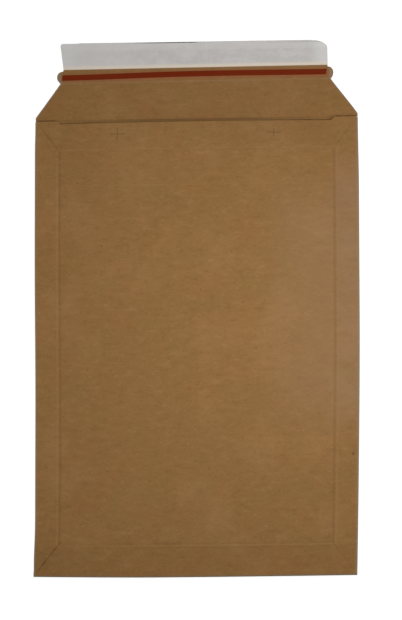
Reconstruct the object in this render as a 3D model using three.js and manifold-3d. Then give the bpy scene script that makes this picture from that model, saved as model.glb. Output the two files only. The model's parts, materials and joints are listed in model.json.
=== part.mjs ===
// A flat board mailer, lying face up with its closing flap open.
// The pocket is one folded blank: back panel, two side glue flaps and a front panel.
// The front panel carries a crease frame with mitred corners, and bulges a little.
// The closing flap has a tear band with a thumb tab at each end, and an adhesive lip.
// Millimetres. +X is to the right, +Y towards the flap's lip, +Z up out of the face.
// The origin is under the middle of the part, on the surface that it lies on.

import * as THREE from "three";
import { mergeVertices } from "three/addons/utils/BufferGeometryUtils.js";
import Module from "manifold-3d";

// Pocket
const pocketWidth = 250;
const pocketLength = 353;
const boardThickness = 1.2;
const bulge = 3.5;
const archPower = 2.5;
const rampPower = 6;

// Folds: the air kept inside a side fold, and how far the front panel stands inside it
const sideFoldGap = 0.3;
const frontPanelSetback = 0.6;
const bottomFoldRadius = 1.6;

// Side glue flaps and the glue film on them
const glueFlapWidth = 18.5;
const glueFlapMitre = 25;
const glueFilm = 0.2;
const glueStripWidth = 11;
const glueStripEdge = 3.5;

// Crease frame on the front panel, and the second crease below the mouth
const sideCreaseInset = 18.5;
const bottomCreaseInset = 23.5;
const topCreaseInset = 23.5;
const secondCreaseInset = 52;
const creaseWidth = 1.6;
const creaseDepth = 0.3;

// Mouth: the front panel's edge stands back from the flap's crease between the side creases
const mouthRecess = 2;
const mouthBow = 0.7;

// Closing flap
const spineWidth = 2.2;
const hingeGap = 0.3;
const flapBaseInset = 0.2;
const bandStart = 29;
const bandWidth = 10;
const notchInset = 19.6;
const tabReach = 2.1;
const tabShoulder = 4.5;
const lipLength = 21.2;
const lipRecess = 2.4;
const lipTaper = 0.2;
const lipCornerRadius = 6;

// Tear tape on the band
const tapeWidth = 4;
const tapeThickness = 0.15;
const tapeLength = 205.7;
const tapeAboveNotch = 6.2;
const tapeShift = -1.15;

// Adhesive strip on the lip
const adhesiveWidth = 13;
const adhesiveThickness = 0.15;
const adhesiveEdge = 1.9;
const adhesiveEndMargin = 3;

// Release liner: a little askew, past the lip at its upper left corner
const linerThickness = 0.1;
const linerLowEdge = 1;
const linerTopEdge = 0.3;
const linerOverhangLeft = 2.6;
const linerOverhangRight = -0.2;
const linerLeftRadius = 2.3;
const linerRightRadius = 7;

// Fineness of the modelled curves
const arcSteps = 6;
const bulgeColumns = 12;
const bulgeRows = 11;
const cutMargin = 0.5;

// Heights of the layers, from the surface up
const glueFlapLow = boardThickness + sideFoldGap;
const glueFlapTop = glueFlapLow + boardThickness;
const frontLow = glueFlapTop + glueFilm;
const frontTop = frontLow + boardThickness;

// Places along the length
const lipStart = bandStart + bandWidth;
const flapLength = lipStart + lipLength;
const creaseY = (pocketLength + flapLength) / 2 - flapLength;
const bottomY = creaseY - pocketLength;
const hingeY = creaseY + spineWidth / 2;
const bandY = creaseY + bandStart;
const lipY = creaseY + lipStart;
const endY = creaseY + flapLength;
const bottomCreaseY = bottomY + bottomCreaseInset;
const topCreaseY = creaseY - topCreaseInset;
const secondCreaseY = creaseY - secondCreaseInset;

// Half widths
const halfWidth = pocketWidth / 2;
const panelHalf = halfWidth - frontPanelSetback;
const sideCreaseX = halfWidth - sideCreaseInset;
const flapBaseHalf = halfWidth - flapBaseInset;
const notchHalf = halfWidth - notchInset;
const lipHalf = notchHalf - lipRecess;
const creaseHalf = creaseWidth / 2;

const wasm = await Module();
wasm.setup();

// A closed geometry as a solid that can be joined and cut.
function toSolid(geometry) {
  const bare = geometry.clone();
  bare.deleteAttribute("normal");
  bare.deleteAttribute("uv");
  const merged = mergeVertices(bare);
  const vertProperties = new Float32Array(merged.attributes.position.array);
  const triVerts = new Uint32Array(merged.index.array);
  return new wasm.Manifold(new wasm.Mesh({ numProp: 3, vertProperties, triVerts }));
}

function toGeometry(solid) {
  const mesh = solid.getMesh();
  const geometry = new THREE.BufferGeometry();
  geometry.setAttribute("position", new THREE.BufferAttribute(mesh.vertProperties, 3));
  geometry.setIndex(new THREE.BufferAttribute(mesh.triVerts, 1));
  geometry.computeVertexNormals();
  return geometry;
}

// An outline in plan, raised from one height to another.
function plate(shape, low, thickness) {
  const options = { depth: thickness, bevelEnabled: false, curveSegments: arcSteps };
  return new THREE.ExtrudeGeometry(shape, options).translate(0, 0, low);
}

function polygon(points) {
  return new THREE.Shape(points.map(([x, y]) => new THREE.Vector2(x, y)));
}

// The hook of board at a fold, drawn from the fold's outer face inwards.
// The lower leg lies at height 0 and the upper leg's top is at the stack height.
function foldProfile(stackHeight, outerRadius, legLength) {
  const innerRadius = Math.max(outerRadius - boardThickness, 0);
  const right = Math.PI / 2;
  const shape = new THREE.Shape();
  shape.moveTo(legLength, 0);
  shape.lineTo(legLength, boardThickness);
  shape.lineTo(outerRadius, boardThickness);
  shape.absarc(outerRadius, boardThickness + innerRadius, innerRadius, -right, -2 * right, true);
  const innerTop = stackHeight - boardThickness - innerRadius;
  shape.absarc(outerRadius, innerTop, innerRadius, -2 * right, -3 * right, true);
  shape.lineTo(legLength, stackHeight - boardThickness);
  shape.lineTo(legLength, stackHeight);
  shape.lineTo(outerRadius, stackHeight);
  shape.absarc(outerRadius, stackHeight - outerRadius, outerRadius, right, 2 * right, false);
  shape.absarc(outerRadius, outerRadius, outerRadius, 2 * right, 3 * right, false);
  shape.lineTo(legLength, 0);
  return shape;
}

// A straight V groove pressed into a flat face, between two points in plan.
function groove(from, to, faceHeight) {
  const along = new THREE.Vector2().subVectors(to, from);
  const length = along.length();
  along.normalize();
  const spread = (creaseHalf * (creaseDepth + cutMargin)) / creaseDepth;
  const wedge = polygon([[-spread, cutMargin], [0, -creaseDepth], [spread, cutMargin]]);
  const geometry = new THREE.ExtrudeGeometry(wedge, { depth: length, bevelEnabled: false });
  const basis = new THREE.Matrix4().makeBasis(
    new THREE.Vector3(-along.y, along.x, 0),
    new THREE.Vector3(0, 0, 1),
    new THREE.Vector3(along.x, along.y, 0),
  );
  basis.setPosition(from.x, from.y, faceHeight);
  return toSolid(geometry.applyMatrix4(basis));
}

// Back panel, up to the hinge line; its sides end where the side folds begin to turn.
function backPanel() {
  const foldRadius = glueFlapTop / 2;
  const innerHalf = halfWidth - foldRadius;
  const topY = hingeY - hingeGap / 2;
  const topHalf = flapHalfAt(topY);
  const shape = polygon([
    [-innerHalf, bottomY + bottomFoldRadius],
    [innerHalf, bottomY + bottomFoldRadius],
    [innerHalf, creaseY - foldRadius],
    [flapBaseHalf, creaseY],
    [topHalf, topY],
    [-topHalf, topY],
    [-flapBaseHalf, creaseY],
    [-innerHalf, creaseY - foldRadius],
  ]);
  return toSolid(plate(shape, 0, boardThickness));
}

// A side fold with its glue flap, whose two ends are mitred. Side is -1 or +1.
function sideFold(side) {
  const startY = bottomY + bottomFoldRadius;
  const length = creaseY - startY;
  const profile = foldProfile(glueFlapTop, glueFlapTop / 2, glueFlapWidth);
  const options = { depth: length, bevelEnabled: false, curveSegments: arcSteps };
  const hook = new THREE.ExtrudeGeometry(profile, options);
  const basis = new THREE.Matrix4().makeBasis(
    new THREE.Vector3(1, 0, 0),
    new THREE.Vector3(0, 0, 1),
    new THREE.Vector3(0, -1, 0),
  );
  basis.setPosition(-halfWidth, creaseY, 0);
  let solid = toSolid(hook.applyMatrix4(basis));
  const innerX = glueFlapWidth - halfWidth;
  for (const [edgeY, inwards] of [[startY, 1], [creaseY, -1]]) {
    const mitre = polygon([
      [-halfWidth - cutMargin, edgeY - inwards * cutMargin],
      [innerX + cutMargin, edgeY - inwards * cutMargin],
      [innerX + cutMargin, edgeY + inwards * glueFlapMitre],
      [innerX, edgeY + inwards * glueFlapMitre],
      [-halfWidth, edgeY],
      [-halfWidth - cutMargin, edgeY],
    ]);
    const cutLow = boardThickness + sideFoldGap / 2;
    solid = solid.subtract(toSolid(plate(mitre, cutLow, boardThickness + sideFoldGap)));
  }
  return side < 0 ? solid : solid.mirror([1, 0, 0]);
}

// The fold at the bottom, which turns the back panel into the front panel.
function bottomFold() {
  const profile = foldProfile(frontTop, bottomFoldRadius, bottomCreaseInset / 2);
  const options = { depth: 2 * panelHalf, bevelEnabled: false, curveSegments: arcSteps };
  const hook = new THREE.ExtrudeGeometry(profile, options);
  const basis = new THREE.Matrix4().makeBasis(
    new THREE.Vector3(0, 1, 0),
    new THREE.Vector3(0, 0, 1),
    new THREE.Vector3(1, 0, 0),
  );
  basis.setPosition(-panelHalf, bottomY, 0);
  return toSolid(hook.applyMatrix4(basis));
}

// How far the front panel is lifted off the layers under it.
function lift(x, y) {
  const flatX = sideCreaseX - creaseHalf;
  const flatY = bottomCreaseY + creaseHalf;
  const across = Math.max(1 - Math.abs(x / flatX) ** archPower, 0);
  const along = Math.min(Math.max((y - flatY) / (creaseY - mouthRecess - flatY), 0), 1);
  return bulge * across * (1 - (1 - along) ** rampPower);
}

// How far the mouth's edge stands below the flap's crease.
function mouthSetback(x) {
  const reach = (sideCreaseX + creaseHalf - Math.abs(x)) / creaseWidth;
  const step = Math.min(Math.max(reach, 0), 1);
  return step * (mouthRecess - mouthBow * Math.max(1 - (x / sideCreaseX) ** 2, 0));
}

// Lines of a grid: the three lines of each crease, with even lines between them.
function gridLines(start, end, creases, cells) {
  const lines = [{ at: start, scored: false }];
  creases.forEach((crease, i) => {
    const from = lines[lines.length - 1].at;
    const to = crease - creaseHalf;
    for (let k = 1; k < cells[i]; k += 1) {
      lines.push({ at: from + ((to - from) * k) / cells[i], scored: false });
    }
    lines.push({ at: to, scored: false });
    lines.push({ at: crease, scored: true });
    lines.push({ at: crease + creaseHalf, scored: false });
  });
  const from = lines[lines.length - 1].at;
  const last = cells[creases.length];
  for (let k = 1; k <= last; k += 1) {
    lines.push({ at: from + ((end - from) * k) / last, scored: false });
  }
  return lines;
}

// The front panel: a box whose grid is moved to the crease lines and lifted to the bulge.
function frontPanel() {
  const startY = bottomY + bottomCreaseInset / 2;
  const columns = gridLines(-panelHalf, panelHalf, [-sideCreaseX, sideCreaseX], [1, bulgeColumns, 1]);
  const creases = [bottomCreaseY, secondCreaseY, topCreaseY];
  const rows = gridLines(startY, creaseY, creases, [1, bulgeRows, 1, 2]);
  const columnCount = columns.length - 1;
  const rowCount = rows.length - 1;
  const geometry = new THREE.BoxGeometry(1, 1, 1, columnCount, rowCount, 1);
  const position = geometry.attributes.position;
  for (let i = 0; i < position.count; i += 1) {
    const column = columns[Math.round((position.getX(i) + 0.5) * columnCount)];
    const rowIndex = Math.round((position.getY(i) + 0.5) * rowCount);
    const row = rows[rowIndex];
    const onFace = position.getZ(i) > 0;
    const x = column.at;
    const y = rowIndex === rowCount ? row.at - mouthSetback(x) : row.at;
    const insideFrame = Math.abs(x) <= sideCreaseX;
    const besideFrame = row.at >= bottomCreaseY && row.at <= topCreaseY;
    const scored = (column.scored && besideFrame) || (row.scored && insideFrame);
    const height = onFace ? frontTop - (scored ? creaseDepth : 0) : frontLow;
    position.setXYZ(i, x, y, height + lift(x, y));
  }
  return toSolid(geometry);
}

// The creases that run from the frame's corners to the pocket's corners.
function mitreCreases() {
  const cuts = [];
  for (const side of [-1, 1]) {
    for (const [cornerY, innerY] of [[bottomY, bottomCreaseY], [creaseY, topCreaseY]]) {
      const outer = new THREE.Vector2(side * halfWidth, cornerY);
      const inner = new THREE.Vector2(side * sideCreaseX, innerY);
      const start = new THREE.Vector2().lerpVectors(outer, inner, 0.08);
      const end = new THREE.Vector2().lerpVectors(outer, inner, 0.96);
      cuts.push(groove(start, end, frontTop));
    }
  }
  return cuts;
}

function pocket() {
  let solid = backPanel();
  for (const piece of [sideFold(-1), sideFold(1), bottomFold(), frontPanel()]) {
    solid = solid.add(piece);
  }
  for (const cut of mitreCreases()) {
    solid = solid.subtract(cut);
  }
  return toGeometry(solid);
}

// The film of glue that holds the front panel on a glue flap.
function seamGlue(side) {
  const length = pocketLength - 2 * glueFlapMitre;
  const x = side * (halfWidth - glueStripEdge - glueStripWidth / 2);
  const y = (bottomY + creaseY) / 2;
  return new THREE.BoxGeometry(glueStripWidth, length, glueFilm).translate(x, y, glueFlapTop + glueFilm / 2);
}

// Half width of the closing flap below its tabs.
function flapHalfAt(y) {
  const part = (y - creaseY) / bandStart;
  return flapBaseHalf + (notchHalf - flapBaseHalf) * part;
}

// Right half of the flap's outline from the hinge up, to be mirrored.
function flapOutline() {
  const startY = hingeY + hingeGap / 2;
  const tipX = notchHalf + tabReach;
  const tipY = lipY - tabShoulder;
  const below = tipY - bandY;
  const lowRadius = (tabReach ** 2 + below ** 2) / (2 * tabReach);
  const lowAngle = Math.asin(below / lowRadius);
  const topHalf = lipHalf - lipTaper;
  const right = new THREE.Path();
  right.moveTo(flapHalfAt(startY), startY);
  right.lineTo(notchHalf, bandY);
  right.absarc(tipX - lowRadius, tipY, lowRadius, -lowAngle, 0, false);
  right.absarc(tipX - tabShoulder, tipY, tabShoulder, 0, Math.PI / 2, false);
  right.lineTo(lipHalf, lipY);
  right.lineTo(topHalf, endY - lipCornerRadius);
  right.absarc(topHalf - lipCornerRadius, endY - lipCornerRadius, lipCornerRadius, 0, Math.PI / 2, false);
  const half = right.getPoints(arcSteps);
  const mirrored = half.map((p) => new THREE.Vector2(-p.x, p.y)).reverse();
  return new THREE.Shape([...half, ...mirrored]);
}

function closingFlap() {
  let solid = toSolid(plate(flapOutline(), 0, boardThickness));
  const reach = halfWidth + cutMargin;
  for (const y of [creaseY + spineWidth + creaseHalf, bandY, lipY]) {
    const from = new THREE.Vector2(-reach, y);
    const to = new THREE.Vector2(reach, y);
    solid = solid.subtract(groove(from, to, boardThickness));
  }
  return toGeometry(solid);
}

function tearTape() {
  const y = bandY + tapeAboveNotch;
  const z = boardThickness + tapeThickness / 2;
  return new THREE.BoxGeometry(tapeLength, tapeWidth, tapeThickness).translate(tapeShift, y, z);
}

function closureAdhesive() {
  const length = 2 * (lipHalf - lipTaper - adhesiveEndMargin);
  const y = lipY + adhesiveEdge + adhesiveWidth / 2;
  const z = boardThickness + adhesiveThickness / 2;
  return new THREE.BoxGeometry(length, adhesiveWidth, adhesiveThickness).translate(0, y, z);
}

function releaseLiner() {
  const lowY = lipY + linerLowEdge;
  const topY = endY - linerTopEdge;
  const leftTop = -lipHalf - linerOverhangLeft;
  const rightTop = lipHalf + linerOverhangRight;
  const shape = new THREE.Shape();
  shape.moveTo(-lipHalf, lowY);
  shape.lineTo(lipHalf, lowY);
  shape.lineTo(rightTop, topY - linerRightRadius);
  shape.absarc(rightTop - linerRightRadius, topY - linerRightRadius, linerRightRadius, 0, Math.PI / 2, false);
  shape.lineTo(leftTop + linerLeftRadius, topY);
  shape.absarc(leftTop + linerLeftRadius, topY - linerLeftRadius, linerLeftRadius, Math.PI / 2, Math.PI, false);
  shape.lineTo(-lipHalf, lowY);
  return plate(shape, boardThickness + adhesiveThickness, linerThickness);
}

const kraftBoard = { color: 0x8a673f, roughness: 0.9, metalness: 0 };
const hotMelt = { color: 0xcabf9c, roughness: 0.5, metalness: 0 };
const redFilm = { color: 0x64210a, roughness: 0.45, metalness: 0 };
const pressureAdhesive = { color: 0xd8d2b8, roughness: 0.35, metalness: 0 };
const siliconePaper = { color: 0xb8b4ad, roughness: 0.5, metalness: 0 };

function named(name, geometry, finish) {
  const mesh = new THREE.Mesh(geometry, new THREE.MeshStandardMaterial(finish));
  mesh.name = name;
  return mesh;
}

const pocketGroup = new THREE.Group();
pocketGroup.add(named("board_pocket", pocket(), kraftBoard));
pocketGroup.add(named("left_seam_glue", seamGlue(-1), hotMelt));
pocketGroup.add(named("right_seam_glue", seamGlue(1), hotMelt));

const flapGroup = new THREE.Group();
flapGroup.add(named("closing_flap", closingFlap(), kraftBoard));
flapGroup.add(named("tear_tape", tearTape(), redFilm));
flapGroup.add(named("closure_adhesive", closureAdhesive(), pressureAdhesive));
flapGroup.add(named("release_liner", releaseLiner(), siliconePaper));

const mailer = new THREE.Group();
mailer.add(pocketGroup, flapGroup);

export default mailer;
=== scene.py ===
"""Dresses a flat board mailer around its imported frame, in metres, with the closing flap open."""

import json
import logging
import math
from dataclasses import dataclass, field
from enum import Enum, IntEnum
from typing import Callable, Sequence

import bmesh
import bpy
import numpy as np
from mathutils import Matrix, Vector, noise

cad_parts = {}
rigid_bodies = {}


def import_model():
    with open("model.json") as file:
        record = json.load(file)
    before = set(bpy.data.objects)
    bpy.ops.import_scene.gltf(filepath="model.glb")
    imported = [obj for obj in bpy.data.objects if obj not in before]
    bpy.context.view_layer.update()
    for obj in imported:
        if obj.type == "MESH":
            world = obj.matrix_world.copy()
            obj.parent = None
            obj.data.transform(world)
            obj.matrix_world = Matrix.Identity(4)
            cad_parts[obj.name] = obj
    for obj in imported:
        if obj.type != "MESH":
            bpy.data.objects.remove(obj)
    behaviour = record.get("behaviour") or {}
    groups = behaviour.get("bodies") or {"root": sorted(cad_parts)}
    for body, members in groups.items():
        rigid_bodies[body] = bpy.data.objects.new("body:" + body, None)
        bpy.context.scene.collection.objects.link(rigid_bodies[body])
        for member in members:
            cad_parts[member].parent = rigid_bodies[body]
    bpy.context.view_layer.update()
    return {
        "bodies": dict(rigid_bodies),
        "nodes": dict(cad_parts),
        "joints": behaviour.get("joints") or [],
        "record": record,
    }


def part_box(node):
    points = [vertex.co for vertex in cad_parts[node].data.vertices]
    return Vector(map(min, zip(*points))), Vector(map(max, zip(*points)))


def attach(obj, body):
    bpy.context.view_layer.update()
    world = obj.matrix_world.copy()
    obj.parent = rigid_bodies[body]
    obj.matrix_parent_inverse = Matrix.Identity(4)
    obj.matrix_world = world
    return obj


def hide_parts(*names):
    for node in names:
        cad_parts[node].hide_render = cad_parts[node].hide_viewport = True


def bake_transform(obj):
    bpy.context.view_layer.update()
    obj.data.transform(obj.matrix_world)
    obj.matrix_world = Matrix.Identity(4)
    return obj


logger = logging.getLogger("board_mailer")

Socket = bpy.types.NodeSocket
Colour = tuple[int, int, int]
Span = tuple[float, float]
Triple = tuple[float, float, float]

MM = 0.001
SHEET_PLACE = "sheet_place"
TINY = 1e-9
SAME_PLACE = 1e-7
CLOSEST_LINES = 1e-5
POCKET_LENGTH = 353.0 * MM

PALE_BOARD = (158, 119, 76)
DEEP_BOARD = (116, 82, 43)
# Tones of the painted highlight and painted shade lines that stand in for light across the
# creases.
CREASE_HIGHLIGHT = (158, 122, 82)
SHADED_BOARD = (112, 80, 46)
PRINTED_BROWN = (92, 66, 38)


class Side(IntEnum):
    """The two long sides of the mailer."""

    LEFT = -1
    RIGHT = 1


class BoardSurface(IntEnum):
    """Material slots of a piece of board."""

    FACE = 0
    CUT_EDGE = 1


class Body(Enum):
    """The frame's two bodies."""

    POCKET = "pocket"
    FLAP = "flap"


class Tree:
    """A small helper that adds nodes to a node tree and links them."""

    def __init__(self, tree: bpy.types.NodeTree) -> None:
        """Wraps a tree.

        Args:
            tree: The node tree to build in.
        """
        self.tree = tree

    def node(self, kind: str, inputs: dict | None = None, **settings: object) -> bpy.types.Node:
        """Adds one node.

        Args:
            kind: Blender's node type.
            inputs: Socket name or index, with a value or a socket to link from.
            settings: Attributes of the node.

        Returns:
            The new node.
        """
        made = self.tree.nodes.new(kind)
        for key, value in settings.items():
            setattr(made, key, value)
        for key, value in (inputs or {}).items():
            self.feed(made.inputs[key], value)
        return made

    def feed(self, socket: Socket, value: object) -> None:
        """Links a socket from another one, or sets its value.

        Args:
            socket: The input to feed.
            value: A socket to link from, or a plain value.
        """
        if isinstance(value, Socket):
            self.tree.links.new(value, socket)
        else:
            socket.default_value = value

    def math(self, operation: str, *values: object, clamp: bool = False) -> Socket:
        """Adds a Math node.

        Args:
            operation: The node's operation.
            values: Up to three numbers or sockets.
            clamp: Whether the result is held between 0 and 1.

        Returns:
            The node's output.
        """
        made = self.node("ShaderNodeMath", dict(enumerate(values)), operation=operation)
        made.use_clamp = clamp
        return made.outputs[0]

    def product(self, *parts: object) -> object:
        """Multiplies masks and numbers.

        Args:
            parts: One or more numbers or sockets.

        Returns:
            Their product, or the only part as it is.
        """
        result = parts[0]
        for part in parts[1:]:
            result = self.math("MULTIPLY", result, part)
        return result

    def fade(self, value: object, start: float, end: float) -> Socket:
        """A smooth step from 0 to 1.

        Args:
            value: A number or a socket.
            start: Where the step begins.
            end: Where it ends, which may be below its start.

        Returns:
            The step as a socket.
        """
        limits = {"Value": value, "From Min": start, "From Max": end}
        made = self.node("ShaderNodeMapRange", limits, interpolation_type="SMOOTHSTEP")
        return made.outputs["Result"]

    def scaled(self, amount: object, low: float, high: float) -> Socket:
        """Maps 0..1 to low..high, without clamping."""
        limits = {"Value": amount, "To Min": low, "To Max": high}
        return self.node("ShaderNodeMapRange", limits, clamp=False).outputs["Result"]

    def band(self, value: object, centre: float, half: float, soft: float) -> Socket:
        """A soft-edged band: 1 within half of the centre, 0 past half plus soft."""
        distance = self.math("ABSOLUTE", self.math("SUBTRACT", value, centre))
        return self.fade(distance, half + soft, max(half - soft, 0.0))

    def mix(self, amount: object, first: object, second: object) -> Socket:
        """Mixes two colours.

        Args:
            amount: The factor, a number or a socket.
            first: Colour or socket at 0.
            second: Colour or socket at 1.

        Returns:
            The mixed colour.
        """
        made = self.node("ShaderNodeMix", data_type="RGBA")
        for name, value in (("Factor", amount), ("A", first), ("B", second)):
            self.feed(made.inputs[name], value)
        return made.outputs["Result"]

    def stretched(self, vector: object, scale: Triple) -> Socket:
        """The coordinates stretched along each axis."""
        return self.node("ShaderNodeMapping", {"Vector": vector, "Scale": scale}).outputs[0]

    def noise(self, vector: object, scale: float | Triple, detail: float, rough: float) -> Socket:
        """Adds a noise texture.

        Args:
            vector: Coordinates.
            scale: Grains for each metre, or that number along each axis.
            detail: Octaves of finer noise.
            rough: How strong the finer noise is.

        Returns:
            The noise's value, about 0.5 on average.
        """
        if isinstance(scale, tuple):
            vector, scale = self.stretched(vector, scale), 1.0
        grains = {"Vector": vector, "Scale": scale, "Detail": detail, "Roughness": rough}
        return self.node("ShaderNodeTexNoise", grains).outputs[0]


def linear(colour: Colour) -> tuple[float, float, float, float]:
    """An sRGB colour of 0 to 255 as a linear colour with alpha 1.

    Args:
        colour: Red, green and blue.

    Returns:
        The linear colour.
    """
    channels = []
    for value in colour:
        part = value / 255
        channels.append(part / 12.92 if part <= 0.04045 else ((part + 0.055) / 1.055) ** 2.4)
    return (channels[0], channels[1], channels[2], 1.0)


@dataclass(frozen=True)
class Fade:
    """A tone that comes in as a value passes smoothly from start to end."""

    tone: Colour
    amount: float
    start: float
    end: float


@dataclass(frozen=True)
class Line:
    """A soft-edged line of a tone, at an offset from a crease."""

    tone: Colour
    amount: float
    offset: float
    half: float
    soft: float = 0.5 * MM


@dataclass(frozen=True)
class Fleck:
    """Scattered flecks: cells for each metre, and the share of cells that stay empty."""

    tone: Colour
    amount: float
    scale: float
    empty: float


@dataclass(frozen=True)
class Scuff:
    """A small dark spot on the face."""

    x: float
    y: float
    amount: float


@dataclass(frozen=True)
class Cross:
    """A printed cross: its middle and the half lengths of its two strokes."""

    x: float
    y: float
    half_x: float
    half_y: float


class Paint:
    """A material whose colour is built up in layers over a plain base."""

    def __init__(self, name: str, base: Colour, on_sheet: bool = True) -> None:
        """Starts the material with a Principled shader.

        Args:
            name: The material's name.
            base: Its first colour.
            on_sheet: Whether the piece carries its own places on the flat sheet.
        """
        self.material = bpy.data.materials.new(name)
        self.material.use_nodes = True
        self.tree = Tree(self.material.node_tree)
        self.shader = self.material.node_tree.nodes["Principled BSDF"]
        if on_sheet:
            source = self.tree.node("ShaderNodeAttribute", attribute_name=SHEET_PLACE)
            self.place = source.outputs["Vector"]
        else:
            self.place = self.tree.node("ShaderNodeTexCoord").outputs["Object"]
        parts = self.tree.node("ShaderNodeSeparateXYZ", {"Vector": self.place})
        self.x, self.y, self.z = parts.outputs
        self.colour: object = linear(base)

    def above(self, height: float) -> Socket:
        """1 where the surface lies above a height, and 0 elsewhere."""
        return self.tree.math("GREATER_THAN", self.z, height)

    def tint(self, tone: Colour, amount: object, *masks: Socket) -> None:
        """Mixes in a tone by an amount, where all the masks allow it."""
        self.colour = self.tree.mix(self.tree.product(*masks, amount), self.colour, linear(tone))

    def lay(self, layer: Fade, value: Socket, *masks: Socket) -> None:
        """Lays a tone in along a value, where all the masks allow it."""
        self.tint(layer.tone, layer.amount, self.tree.fade(value, layer.start, layer.end), *masks)

    def draw(self, line: Line, value: Socket, at: float, *masks: Socket) -> None:
        """Draws a line across a value, beside a place on it."""
        band = self.tree.band(value, at + line.offset, line.half, line.soft)
        self.tint(line.tone, line.amount, band, *masks)

    def finish(
        self, roughness: object, specular: float, *bumps: tuple[Socket, float, float]
    ) -> bpy.types.Material:
        """Feeds the shader.

        Args:
            roughness: A number or a socket.
            specular: The shader's specular level.
            bumps: Height, strength and distance of each bump, the finest first.

        Returns:
            The finished material.
        """
        self.tree.feed(self.shader.inputs["Base Color"], self.colour)
        self.tree.feed(self.shader.inputs["Roughness"], roughness)
        self.shader.inputs["Specular IOR Level"].default_value = specular
        normal = None
        for height, strength, distance in bumps:
            inputs = {"Height": height, "Strength": strength, "Distance": distance}
            if normal is not None:
                inputs["Normal"] = normal
            normal = self.tree.node("ShaderNodeBump", inputs).outputs[0]
        self.tree.feed(self.shader.inputs["Normal"], normal)
        return self.material


@dataclass(frozen=True)
class TapeLine:
    """The tear tape's run across the flap, which sinks a little towards both ends."""

    centre_y: float
    half_width: float
    left_x: float
    right_x: float
    sink: float = 0.3 * MM
    left_sink: float = 1.33 * MM
    right_sink: float = 0.43 * MM
    right_start: float = 20.0 * MM

    def drop(self, x: float) -> float:
        """How far the tape lies below its CAD place at a place across."""
        left = self.left_sink * smooth_step(x, 0.0, self.left_x)
        return self.sink + left + self.right_sink * smooth_step(x, self.right_start, self.right_x)

    def distance(self, paint: Paint) -> Socket:
        """The distance in plan from the tape's edges, below 0 under the tape.

        Args:
            paint: The material that asks.

        Returns:
            The distance as a node socket.
        """
        tree = paint.tree
        left = tree.product(tree.fade(paint.x, 0.0, self.left_x), self.left_sink)
        right = tree.product(tree.fade(paint.x, self.right_start, self.right_x), self.right_sink)
        centre = tree.math("SUBTRACT", self.centre_y - self.sink, tree.math("ADD", left, right))
        away = tree.math("ABSOLUTE", tree.math("SUBTRACT", paint.y, centre))
        return tree.math("SUBTRACT", away, self.half_width)


@dataclass(frozen=True)
class CreaseMap:
    """Where the board's creases, edges and printed marks lie, in the frame."""

    side_x: float
    side_edge_x: float
    low_edge_y: float
    bottom_y: float
    top_y: float
    second_y: float
    crease_y: float
    notch_x: float
    notch_y: float
    lip_y: float
    tape: TapeLine
    marks: tuple[Cross, ...]


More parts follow.
